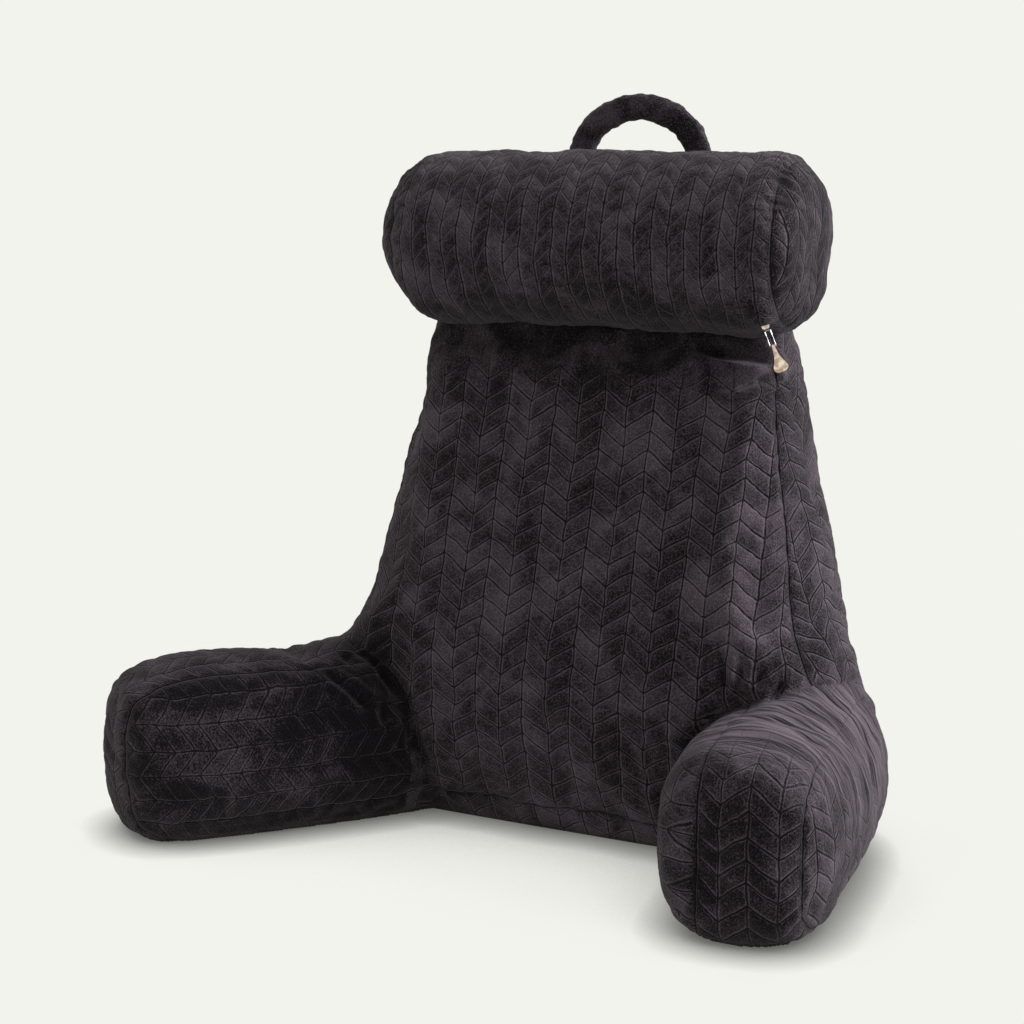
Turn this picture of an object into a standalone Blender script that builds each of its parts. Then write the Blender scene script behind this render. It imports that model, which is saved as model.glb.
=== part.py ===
"""Reading pillow with arms, modelled at its real size in metres, +Z up, front towards -Y.

A wedge-shaped filled backrest stands on its flat base. Two short filled arms grow out of its lower
front, a filled neck roll lies in the hollow of its top, and a plush strap behind the roll is the
carry handle. A zip slider, its link and a leaf-shaped pull hang at the roll's right end.
The pieces are laid out with the roll's axis over X = Y = 0, and the whole pillow is then moved so
that the middle of its box stands on the origin.
"""
import math

import bmesh
import bpy
import numpy as np
from mathutils import Matrix, Vector

# Driving dimensions, in metres
GAP = 0.0003                  # clearance between neighbouring pieces
RING_POINTS = 52              # points round each cushion section
CAP_STEPS = 6                 # rings of a domed end panel or tip
OUTLINE_SAMPLES = 1440        # from which an outline's evenly spaced points are taken

ROLL_RADIUS = 0.0825
ROLL_SEAM_RADIUS = 0.072      # where the end panels are sewn on
ROLL_SEAM_X = 0.190           # from the roll's middle to each seam
ROLL_SHOULDER = 0.020         # length over which the roll draws in to each seam
ROLL_CAP_DEPTH = 0.022        # how far an end panel domes out
ROLL_MIDDLE_X = 0.008
ROLL_AXIS_Z = 0.5775
ROLL_POINTS = 40
ROLL_STRAIGHT_RINGS = 7

FRONT_POWER = 5.0             # superellipse powers: higher is squarer
BACK_POWER = 2.7
ARM_POWER = 2.8
STRAP_POWER = 2.6
ARM_TIP_DEPTH = 0.022         # how far the strip bulges out at an arm's tip

HANDLE_HALF_SPAN = 0.064      # strap centre line, foot to middle
HANDLE_TOP_Z = 0.702
HANDLE_ARCH_RISE = 0.054
HANDLE_FOOT_Z = 0.530
HANDLE_Y = 0.100
STRAP_WIDTH = 0.027
STRAP_THICKNESS = 0.013
STRAP_POINTS = 16
ARCH_STEPS = 16

# The backrest, one row per level: height, half width, front, back
BACKREST_COLUMNS = ("z", "half_width", "front", "back")
BACKREST_MIDDLE_X = -0.010
BACKREST_LEVELS = (
    (0.000, 0.212, -0.038, 0.158),
    (0.012, 0.226, -0.050, 0.172),
    (0.040, 0.239, -0.070, 0.184),
    (0.080, 0.248, -0.083, 0.189),
    (0.120, 0.251, -0.087, 0.187),
    (0.170, 0.248, -0.080, 0.180),
    (0.230, 0.239, -0.064, 0.167),
    (0.300, 0.226, -0.044, 0.152),
    (0.370, 0.212, -0.024, 0.139),
    (0.430, 0.200, -0.006, 0.129),
    (0.475, 0.190,  0.006, 0.123),
    (0.510, 0.178,  0.018, 0.118),
    (0.535, 0.155,  0.034, 0.112),
    (0.550, 0.120,  0.052, 0.102),
)

# An arm, one row per section: distance from the root, half width, top, underside before flattening,
# and the share of the arm's own draw-in, by which its hidden end leads into the backrest's side
ARM_COLUMNS = ("along", "half_width", "top", "underside", "drawn_in")
ARM_SECTIONS = (
    (-0.100, 0.048, 0.136,  0.008, 1.00),
    (-0.050, 0.067, 0.153, -0.003, 0.48),
    (0.000,  0.079, 0.161, -0.006, 0.12),
    (0.060,  0.083, 0.163, -0.008, 0.00),
    (0.120,  0.083, 0.166, -0.008, 0.00),
    (0.180,  0.081, 0.169, -0.008, 0.00),
    (0.225,  0.078, 0.170, -0.007, 0.00),
    (0.255,  0.073, 0.167, -0.004, 0.00),
    (0.275,  0.066, 0.158,  0.004, 0.00),
)

# Where each arm starts and which way it points: root x, root y, turn outwards in degrees, draw-in
ARMS = {
    "arm_left": (-0.212, -0.024, -40.0, 0.020),
    "arm_right": (0.207, 0.038, 7.0, -0.070),
}

# The zip's metal, hanging from the roll's right seam and lying against the cloth
ZIP_TOP = Vector((0.189, -0.047, 0.5030))
ZIP_LEAN = math.radians(22)   # away from straight down, to the right
ZIP_FACING = math.radians(27) # turn of its flat face towards +X
SLIDER_SIZE = (0.0070, 0.0040, 0.0060)
LINK_WIDTH = 0.0066
LINK_LENGTH = 0.0170
LINK_WIRE = 0.0007            # radius
LINK_CORNER = 0.0011
LINK_CORNER_STEPS = 5
LINK_WIRE_SIDES = 10
LEAF_NECK = 0.0038
LEAF_WIDTH = 0.0135
LEAF_LENGTH = 0.0260
LEAF_THICKNESS = 0.0036
LEAF_BORE = 0.0011            # radius of the hole that the link runs through
METAL_EDGE = 0.0005


def clear_scene():
    """Remove every object the new file starts with."""
    for thing in list(bpy.data.objects):
        bpy.data.objects.remove(thing, do_unlink=True)


def make_finish(name, colour, roughness, metallic):
    """One Principled material."""
    material = bpy.data.materials.new(name)
    material.use_nodes = True
    shader = material.node_tree.nodes["Principled BSDF"]
    shader.inputs["Base Color"].default_value = (*colour, 1.0)
    shader.inputs["Roughness"].default_value = roughness
    shader.inputs["Metallic"].default_value = metallic
    return material


def add_object(name, bm, material, smooth_angle=math.radians(50)):
    """Turn a bmesh into a named object of the scene."""
    bmesh.ops.recalc_face_normals(bm, faces=bm.faces)
    mesh = bpy.data.meshes.new(name)
    bm.to_mesh(mesh)
    bm.free()
    mesh.shade_smooth()
    mesh.set_sharp_from_angle(angle=smooth_angle)
    mesh.materials.append(material)
    thing = bpy.data.objects.new(name, mesh)
    bpy.context.scene.collection.objects.link(thing)
    return thing


def make_guide(thing):
    """Mark an object as a cutter that isn't part of the pillow."""
    thing.hide_render = True
    thing.display_type = "WIRE"
    return thing


def soft_outline(half_a, half_b, power, count, far_power=None):
    """Evenly spaced points of a superellipse: crowned sides and round corners.

    The half on the side of +b may be rounder or squarer than the other, by its own far_power.
    """
    turn = np.linspace(0.0, 2.0 * math.pi, OUTLINE_SAMPLES)
    exponent = 2.0 / np.where(np.sin(turn) > 0.0, far_power or power, power)
    a = half_a * np.sign(np.cos(turn)) * np.abs(np.cos(turn)) ** exponent
    b = half_b * np.sign(np.sin(turn)) * np.abs(np.sin(turn)) ** exponent
    length = np.concatenate(([0.0], np.cumsum(np.hypot(np.diff(a), np.diff(b)))))
    even = np.linspace(0.0, length[-1], count, endpoint=False)
    return list(zip(np.interp(even, length, a), np.interp(even, length, b)))


def loft(name, rings, material):
    """A closed solid through rings of points, with a flat face on the first and the last."""
    bm = bmesh.new()
    loops = []
    for ring in rings:
        points = [bm.verts.new(point) for point in ring]
        loops.append([bm.edges.new((a, b)) for a, b in zip(points, points[1:] + points[:1])])
    for lower, upper in zip(loops, loops[1:]):
        bmesh.ops.bridge_loops(bm, edges=lower + upper)
    bmesh.ops.triangulate(bm, faces=bm.faces, quad_method="FIXED")
    for loop in (loops[0], loops[-1]):
        bmesh.ops.contextual_create(bm, geom=loop)
    return add_object(name, bm, material)


def cut(target, cutter):
    """Take the cutter's volume out of the target."""
    boolean = target.modifiers.new("cut " + cutter.name, "BOOLEAN")
    boolean.operation = "DIFFERENCE"
    boolean.object = cutter


def dome(depth, radius):
    """Rows of (height, shrink) from a dome's rim up towards its pole."""
    turns = [0.5 * math.pi * i / CAP_STEPS for i in range(CAP_STEPS)]
    return [(depth * math.sin(turn), radius * (1 - math.cos(turn))) for turn in turns]


def backrest_rings(grow):
    """The backrest's level outlines, all pushed outwards by grow."""
    rings = []
    for row in BACKREST_LEVELS:
        level = dict(zip(BACKREST_COLUMNS, row))
        half_depth = (level["back"] - level["front"]) / 2 + grow
        middle = (level["back"] + level["front"]) / 2
        outline = soft_outline(level["half_width"] + grow, half_depth,
                               FRONT_POWER, RING_POINTS, BACK_POWER)
        rings.append([Vector((BACKREST_MIDDLE_X + x, middle + y, level["z"])) for x, y in outline])
    rings[0] = [point - Vector((0.0, 0.0, grow)) for point in rings[0]]
    rings[-1] = [point + Vector((0.0, 0.0, grow)) for point in rings[-1]]
    return rings


def round_ring(x, radius):
    """One round section of the neck roll, x metres from its middle."""
    turns = [2.0 * math.pi * i / ROLL_POINTS for i in range(ROLL_POINTS)]
    return [Vector((ROLL_MIDDLE_X + x, radius * math.cos(t), ROLL_AXIS_Z + radius * math.sin(t)))
            for t in turns]


def roll_rings(grow):
    """The neck roll's sections from its left seam to its right seam, pushed outwards by grow."""
    draw_in = ROLL_RADIUS - ROLL_SEAM_RADIUS
    right = []
    for i in range(CAP_STEPS + 1):
        turn = 0.5 * math.pi * i / CAP_STEPS
        x = ROLL_SEAM_X - ROLL_SHOULDER * (1 - math.sin(turn))
        right.append((x + grow * math.sin(turn), ROLL_SEAM_RADIUS + draw_in * math.cos(turn) + grow))
    left = [(-x, radius) for x, radius in reversed(right)]
    half_straight = ROLL_SEAM_X - 2 * ROLL_SHOULDER
    straight = np.linspace(-half_straight, half_straight, ROLL_STRAIGHT_RINGS)
    middle = [(x, ROLL_RADIUS + grow) for x in straight]
    return [round_ring(x, radius) for x, radius in left + middle + right]


def arm_ring(name, row, shrink=0.0):
    """One section across an arm, flattened where it meets the floor."""
    root_x, root_y, turn, draw_in = ARMS[name]
    section = dict(zip(ARM_COLUMNS, row))
    forward = Vector((math.sin(math.radians(turn)), -math.cos(math.radians(turn)), 0.0))
    across = Vector((-forward.y, forward.x, 0.0))
    centre = Vector((root_x, root_y, 0.0)) + forward * section["along"]
    centre += across * draw_in * section["drawn_in"]
    half_height = (section["top"] - section["underside"]) / 2 - shrink
    middle = (section["top"] + section["underside"]) / 2
    outline = soft_outline(section["half_width"] - shrink, half_height, ARM_POWER, RING_POINTS)
    return [centre + across * a + Vector((0.0, 0.0, max(middle + b, 0.0))) for a, b in outline]


def make_neck_roll(cloth):
    """The roll and its two domed end panels."""
    loft("neck_roll", roll_rings(0.0), cloth)
    for name, side in (("neck_roll_end_left", -1), ("neck_roll_end_right", 1)):
        rings = []
        for height, shrink in dome(ROLL_CAP_DEPTH, ROLL_SEAM_RADIUS):
            rings.append(round_ring(side * (ROLL_SEAM_X + GAP + height), ROLL_SEAM_RADIUS - shrink))
        loft(name, rings, cloth)


def make_arms(cloth, backrest_room):
    """Each arm ends in a dome of its strip, and is cut off where it meets the backrest."""
    tip = dict(zip(ARM_COLUMNS, ARM_SECTIONS[-1]))
    for name in ARMS:
        rings = [arm_ring(name, row) for row in ARM_SECTIONS]
        for height, shrink in dome(ARM_TIP_DEPTH, tip["half_width"])[1:]:
            rings.append(arm_ring(name, (tip["along"] + height, *ARM_SECTIONS[-1][1:]), shrink))
        cut(loft(name, rings, cloth), backrest_room)


def make_handle(cloth, backrest_room):
    """The strap: up from one foot, over in an arch and down to the other."""
    spring_z = HANDLE_TOP_Z - HANDLE_ARCH_RISE
    path = [Vector((-HANDLE_HALF_SPAN, HANDLE_Y, HANDLE_FOOT_Z))]
    for i in range(ARCH_STEPS + 1):
        turn = math.pi * (1 - i / ARCH_STEPS)
        path.append(Vector((HANDLE_HALF_SPAN * math.cos(turn), HANDLE_Y,
                            spring_z + HANDLE_ARCH_RISE * math.sin(turn))))
    path.append(Vector((HANDLE_HALF_SPAN, HANDLE_Y, HANDLE_FOOT_Z)))
    outline = soft_outline(STRAP_WIDTH / 2, STRAP_THICKNESS / 2, STRAP_POWER, STRAP_POINTS)
    depth = Vector((0.0, 1.0, 0.0))
    rings = []
    for i, point in enumerate(path):
        along = (path[min(i + 1, len(path) - 1)] - path[max(i - 1, 0)]).normalized()
        rings.append([point + along.cross(depth) * a + depth * b for a, b in outline])
    handle = loft("carry_handle", rings, cloth)
    cut(handle, backrest_room)


def zip_place(drop):
    """The zip's frame at a distance down its hanging line: flat face outwards, length along -Z."""
    turned = Matrix.Rotation(ZIP_FACING, 4, "Z") @ Matrix.Rotation(-ZIP_LEAN, 4, "Y")
    return Matrix.Translation(ZIP_TOP) @ turned @ Matrix.Translation((0.0, 0.0, -drop))


def bevel_all(bm, width):
    """Take the sharpness off every edge of a small metal piece."""
    bmesh.ops.bevel(bm, geom=bm.edges[:], offset=width, segments=2, affect="EDGES")


def make_slider(metal):
    """The slider's body, a small bevelled block in the seam."""
    bm = bmesh.new()
    bmesh.ops.create_cube(bm, size=1.0)
    bmesh.ops.scale(bm, vec=SLIDER_SIZE, verts=bm.verts)
    bevel_all(bm, 2 * METAL_EDGE)
    bm.transform(zip_place(-SLIDER_SIZE[2] / 2 - 2 * GAP))
    add_object("zip_slider", bm, metal)


def make_link(metal):
    """The oblong wire link between slider and pull, square enough to lie straight in the bore."""
    half_width = LINK_WIDTH / 2 - LINK_WIRE - LINK_CORNER
    half_length = LINK_LENGTH / 2 - LINK_WIRE - LINK_CORNER
    path = []
    for quarter, (side, end) in enumerate(((1, 1), (-1, 1), (-1, -1), (1, -1))):
        for i in range(LINK_CORNER_STEPS + 1):
            turn = 0.5 * math.pi * (quarter + i / LINK_CORNER_STEPS)
            path.append(Vector((side * half_width + LINK_CORNER * math.cos(turn), 0.0,
                                end * half_length + LINK_CORNER * math.sin(turn))))
    bm = bmesh.new()
    loops = []
    depth = Vector((0.0, 1.0, 0.0))
    for i, point in enumerate(path):
        out = (path[(i + 1) % len(path)] - path[i - 1]).normalized().cross(depth)
        turns = [2.0 * math.pi * k / LINK_WIRE_SIDES for k in range(LINK_WIRE_SIDES)]
        points = [bm.verts.new(point + (out * math.cos(t) + depth * math.sin(t)) * LINK_WIRE)
                  for t in turns]
        loops.append([bm.edges.new((a, b)) for a, b in zip(points, points[1:] + points[:1])])
    for lower, upper in zip(loops, loops[1:] + loops[:1]):
        bmesh.ops.bridge_loops(bm, edges=lower + upper)
    bm.transform(zip_place(GAP + LINK_LENGTH / 2))
    add_object("zip_link", bm, metal)


def make_leaf(metal):
    """The pull: a slim neck that widens into a rounded leaf, bored across for the link."""
    # Half outline from the top of the neck to the tip: share of the length, share of the width
    half_outline = ((0.00, 0.16), (0.03, 0.20), (0.14, 0.21), (0.40, 0.34), (0.62, 0.66),
                    (0.78, 0.96), (0.88, 1.00), (0.95, 0.82), (1.00, 0.40))
    right = [Vector((LEAF_WIDTH / 2 * wide, 0.0, -LEAF_LENGTH * far)) for far, wide in half_outline]
    left = [Vector((-point.x, 0.0, point.z)) for point in reversed(right)]
    bm = bmesh.new()
    face = bm.faces.new([bm.verts.new(point) for point in right + left])
    solid = bmesh.ops.extrude_face_region(bm, geom=[face])
    moved = [v for v in solid["geom"] if isinstance(v, bmesh.types.BMVert)]
    bmesh.ops.translate(bm, vec=(0.0, LEAF_THICKNESS, 0.0), verts=moved)
    bmesh.ops.translate(bm, vec=(0.0, -LEAF_THICKNESS / 2, 0.0), verts=bm.verts)
    for vert in bm.verts:
        share = -vert.co.z / LEAF_LENGTH
        vert.co.y *= 1.0 - 0.5 * min(share, 1.0)
    bevel_all(bm, METAL_EDGE)
    drop = GAP + LINK_LENGTH - LINK_WIRE - LEAF_NECK / 2
    bm.transform(zip_place(drop))
    leaf = add_object("zip_pull", bm, metal)
    bore = bmesh.new()
    bmesh.ops.create_cone(bore, cap_ends=True, segments=16, radius1=LEAF_BORE, radius2=LEAF_BORE,
                          depth=LEAF_WIDTH, matrix=Matrix.Rotation(math.pi / 2, 4, "Y"))
    bore.transform(zip_place(drop + LEAF_NECK / 2))
    cut(leaf, make_guide(add_object("bore_for_link", bore, metal)))


def centre_on_origin():
    """Move the finished pillow so that the middle of its box's underside is the origin."""
    bpy.context.view_layer.update()
    corners = [thing.matrix_world @ Vector(corner) for thing in bpy.data.objects
               if not thing.hide_render for corner in thing.bound_box]
    shift = [-(min(c[axis] for c in corners) + max(c[axis] for c in corners)) / 2 for axis in (0, 1)]
    for thing in bpy.data.objects:
        thing.data.transform(Matrix.Translation((shift[0], shift[1], 0.0)))
    print("moved by", [round(value, 6) for value in shift])


def main():
    clear_scene()
    plush = make_finish("charcoal_plush", (0.030, 0.026, 0.029), 0.95, 0.0)
    nickel = make_finish("nickel_plate", (0.60, 0.60, 0.58), 0.25, 1.0)
    champagne = make_finish("champagne_zinc", (0.72, 0.50, 0.36), 0.28, 1.0)
    backrest = loft("backrest", backrest_rings(0.0), plush)
    roll_room = make_guide(loft("room_for_roll", roll_rings(GAP), plush))
    backrest_room = make_guide(loft("room_for_backrest", backrest_rings(GAP), plush))
    cut(backrest, roll_room)
    make_neck_roll(plush)
    make_arms(plush, backrest_room)
    make_handle(plush, backrest_room)
    make_slider(champagne)
    make_link(nickel)
    make_leaf(champagne)
    centre_on_origin()


main()
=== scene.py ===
# %% [markdown]
# # A reading pillow with arms
# The pillow is a plush cover stuffed with foam: a wedge-shaped backrest with two short arms, a neck roll
# that lies across its top, a carry strap, and one zip pull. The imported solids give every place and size.
# This lesson puts soft, sewn cloth around them, one cell at a time.

# %% Load the fixed solids and measure their box
import math

import bmesh
import bpy
import numpy as np
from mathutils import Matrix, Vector
from mathutils.bvhtree import BVHTree


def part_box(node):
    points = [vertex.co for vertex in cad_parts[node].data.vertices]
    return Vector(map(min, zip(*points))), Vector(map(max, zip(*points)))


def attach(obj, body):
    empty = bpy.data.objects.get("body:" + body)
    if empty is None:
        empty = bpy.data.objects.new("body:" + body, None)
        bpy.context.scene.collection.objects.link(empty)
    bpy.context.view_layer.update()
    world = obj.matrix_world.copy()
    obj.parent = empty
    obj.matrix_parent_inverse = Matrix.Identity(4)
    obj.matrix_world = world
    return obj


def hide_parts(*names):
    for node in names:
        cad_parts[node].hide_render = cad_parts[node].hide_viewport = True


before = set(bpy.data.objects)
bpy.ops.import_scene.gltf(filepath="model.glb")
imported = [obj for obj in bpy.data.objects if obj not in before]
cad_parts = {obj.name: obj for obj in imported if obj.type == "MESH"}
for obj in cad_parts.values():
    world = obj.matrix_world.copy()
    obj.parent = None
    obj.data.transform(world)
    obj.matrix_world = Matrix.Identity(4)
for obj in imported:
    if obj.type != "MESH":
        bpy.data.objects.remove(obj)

SCENE = bpy.context.scene
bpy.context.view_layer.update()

# %% [markdown]
# ## Small helpers
# A material is a tree of nodes, so one helper adds any node with its settings and its links. Colours are
# written as the sRGB hex values that a colour picker shows, and one function turns them to the linear
# numbers that a shader wants. Numpy reads and writes all of a mesh's points at once, which is far quicker
# than a loop.


# %% Helpers for colours, nodes and points
def linear(hex_colour):
    """The linear red, green, blue and alpha of an sRGB hex colour."""
    shares = [int(hex_colour[i:i + 2], 16) / 255 for i in (1, 3, 5)]
    return (*[c / 12.92 if c <= 0.04045 else ((c + 0.055) / 1.055) ** 2.4 for c in shares], 1.0)


def add_node(tree, kind, inputs=None, **settings):
    """Add a node with its settings. An input is a value, an output, or a node whose first output feeds it."""
    made = tree.nodes.new(kind)
    for name, value in settings.items():
        setattr(made, name, value)
    for key, value in (inputs or {}).items():
        if isinstance(value, bpy.types.Node):
            value = value.outputs[0]
        if isinstance(value, bpy.types.NodeSocket):
            tree.links.new(value, made.inputs[key])
        else:
            made.inputs[key].default_value = value
    return made


def points_of(piece):
    """All points of a mesh, in metres."""
    flat = np.empty(len(piece.data.vertices) * 3)
    piece.data.vertices.foreach_get("co", flat)
    return flat.reshape(-1, 3)


def place_points(piece, points):
    """Write a mesh's points back."""
    piece.data.vertices.foreach_set("co", np.asarray(points, float).ravel())
    piece.data.update()


def normals_of(piece):
    """The outward direction at every point."""
    flat = np.empty(len(piece.data.vertices) * 3)
    piece.data.vertex_normals.foreach_get("vector", flat)
    return flat.reshape(-1, 3)


def push(piece, amounts):
    """Move every point along its own outward direction, by one amount or by one amount each."""
    amounts = np.broadcast_to(np.asarray(amounts, float), len(piece.data.vertices))
    place_points(piece, points_of(piece) + normals_of(piece) * amounts[:, None])


def smoothstep(low, high, values):
    """0 below low, 1 above high, and a soft ramp between."""
    share = np.clip((np.asarray(values, float) - low) / (high - low), 0.0, 1.0)
    return share * share * (3.0 - 2.0 * share)


def apply_modifiers(piece):
    """Make all of a piece's modifiers part of its mesh."""
    bpy.ops.object.select_all(action="DESELECT")
    bpy.context.view_layer.objects.active = piece
    piece.select_set(True)
    for modifier in list(piece.modifiers):
        bpy.ops.object.modifier_apply(modifier=modifier.name)


print("the grey #808080 is", round(linear("#808080")[0], 3), "in linear light")

# %% [markdown]
# ## Camera, floor and light
# The camera stands to the pillow's right and slightly above it, about two metres away, and a 69 mm lens
# frames it. The floor glows by itself as pale as the backdrop, so the two read as one pale sweep, and its
# shadows are painted on: a dark line where the pillow meets it and a soft pool between the arms. The light
# is a soft room from all sides. A broad panel at the right and a weaker one above graze the pile, so that
# its brushed side shines and the left stays deep.

# %% Camera
CAMERA_PLACE = (0.8492, -1.6704, 0.66)
CAMERA_AZIMUTH = 27.0
CAMERA_PITCH = 10.4
FOCAL_LENGTH_MM = 69.26

camera = bpy.data.objects.new("camera", bpy.data.cameras.new("camera"))
SCENE.collection.objects.link(camera)
camera.location = CAMERA_PLACE
camera.rotation_euler = (math.radians(90.0 - CAMERA_PITCH), 0.0, math.radians(CAMERA_AZIMUTH))
camera.data.lens = FOCAL_LENGTH_MM
SCENE.camera = camera
SCENE.view_settings.view_transform = "Standard"
print("camera at", CAMERA_PLACE)

# %% Floor and backdrop
PALE = linear("#F2F3ED")
CONTACT_SHADE = linear("#5E5F5A")
FLOOR_RADIUS = 30.0
SHADE_REACH = 0.040              # metres, the painted contact shadow where the pillow meets the floor
POOL_REACH = 0.40                # metres, the painted soft shadow between the arms
POOL_OPENNESS = (0.15, 0.66)     # share of open sky where the painted shadow is deepest, and where it ends
POOL_DEEPEST = 0.20              # share of the floor's light that is left there

bpy.ops.object.select_all(action="DESELECT")
bpy.ops.mesh.primitive_circle_add(vertices=96, radius=FLOOR_RADIUS, fill_type="NGON")
floor = bpy.context.object
floor.name = "floor"
floor_paint = bpy.data.materials.new("glowing_floor_with_painted_shadow")
floor_paint.use_nodes = True
tree = floor_paint.node_tree
tree.nodes.remove(tree.nodes["Principled BSDF"])
# the floor glows, and its shadows are painted on it from how much open sky each place sees
nearness = add_node(tree, "ShaderNodeAmbientOcclusion", {"Distance": SHADE_REACH}, samples=8)
around = add_node(tree, "ShaderNodeAmbientOcclusion", {"Distance": POOL_REACH}, samples=8)
pool = add_node(tree, "ShaderNodeMapRange", {"Value": around.outputs["AO"], "From Min": POOL_OPENNESS[0],
                                             "From Max": POOL_OPENNESS[1], "To Min": POOL_DEEPEST,
                                             "To Max": 1.0})
open_share = add_node(tree, "ShaderNodeMath", {0: nearness.outputs["AO"], 1: pool}, operation="MULTIPLY")
shaded = add_node(tree, "ShaderNodeMix", {"Factor": open_share, "A": CONTACT_SHADE, "B": PALE},
                  data_type="RGBA")
glow = add_node(tree, "ShaderNodeEmission", {"Color": shaded.outputs["Result"]})
tree.links.new(glow.outputs[0], tree.nodes["Material Output"].inputs["Surface"])
floor.data.materials.append(floor_paint)
print("floor is", 2 * FLOOR_RADIUS, "m across")

# %% Room light and two panels
world = bpy.data.worlds.new("studio")
SCENE.world = world
world.use_nodes = True
world.node_tree.nodes["Background"].inputs["Color"].default_value = PALE


def add_panel(name, place, size, power, target=(0.05, 0.0, 0.30)):
    """A soft square light panel that faces a target. The floor glows by itself and shows no pool of it."""
    light = bpy.data.lights.new(name, "AREA")
    light.size = size
    light.energy = power
    panel = bpy.data.objects.new(name, light)
    SCENE.collection.objects.link(panel)
    panel.location = place
    panel.rotation_mode = "QUATERNION"
    panel.rotation_quaternion = (Vector(target) - Vector(place)).to_track_quat("-Z", "Y")
    print(name, "at", place)


add_panel("right_panel", (2.2, 0.70, 1.25), 1.0, 95.0)
add_panel("top_panel", (0.7, 0.9, 2.2), 0.9, 22.0)

# %% [markdown]
# ## The plush
# The cover is polyester plush: short brushed pile, pressed in a herringbone. A wide press line runs
# between columns, and slanted lines cross each column, one way in the odd columns and the other way in
# the even ones, so that they meet in points. The pile is matt from the front and lights up at a grazing
# angle, which is what sheen is for, and where a hand has stroked it one way it looks lighter, in clouds a
# few centimetres across. The press lines are drawn from the cloth's own flat coordinates, in metres, that
# every piece carries in its map "cloth". Each fibre is thinner than a render can show, so the fuzz is
# drawn a millimetre or two coarse.

# %% Sizes and colours of the plush
PILE_DARK = "#060407"          # pile that leans away from the eye; painted shade moves the colour towards it
PILE_LIGHT = "#554C54"         # pile that leans towards it; painted highlights move the colour towards it
SHEEN_TINT = "#B8AEB8"
FUZZ = 0.0015                  # metres, the grain of the pile
CLOUD = 0.045                  # metres, size of a stroked patch
STREAK_STRETCH = (14.0, 300.0, 14.0)   # waves a metre: a stroked arm has streaks round it, 3 mm apart
LINE_WIDTH = 0.0013            # metres, from a press line's middle to its shoulder
LINE_CORNER = 0.0012           # metres, how far two press lines melt together where they meet
THREAD_WIDTH = 0.0014          # metres, from a seam's thread to its shoulder
WOBBLE = 0.006                 # metres, how far a press line wanders
WOBBLE_SIZE = 0.03             # metres, the distance over which it wanders
FUZZ_RELIEF = 0.0018           # metres, how high the pile's grain stands
PRESS_RELIEF = 0.0018          # metres, how deep a press line is drawn
STREAK_RELIEF = 0.0035         # metres, how high a streak stands
# how much lighter or darker the pile is, as a share of the way from dark to light
CLOUD_LIGHT = 0.40
# painted highlight on the shoulder beside each press line
SHOULDER_PAINTED_HIGHLIGHT = 0.36
# painted shade in the press lines and seam threads
PRESS_PAINTED_SHADE = 0.80
COLUMN_PAINTED_SHADE = 0.09         # painted shade between odd and even columns
CELL_PAINTED_SHADE = 0.16           # painted shade from one side of a slanted cell to the other
print("pile from", PILE_DARK, "to", PILE_LIGHT, "with a grain of", 1000 * FUZZ, "mm")


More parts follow.
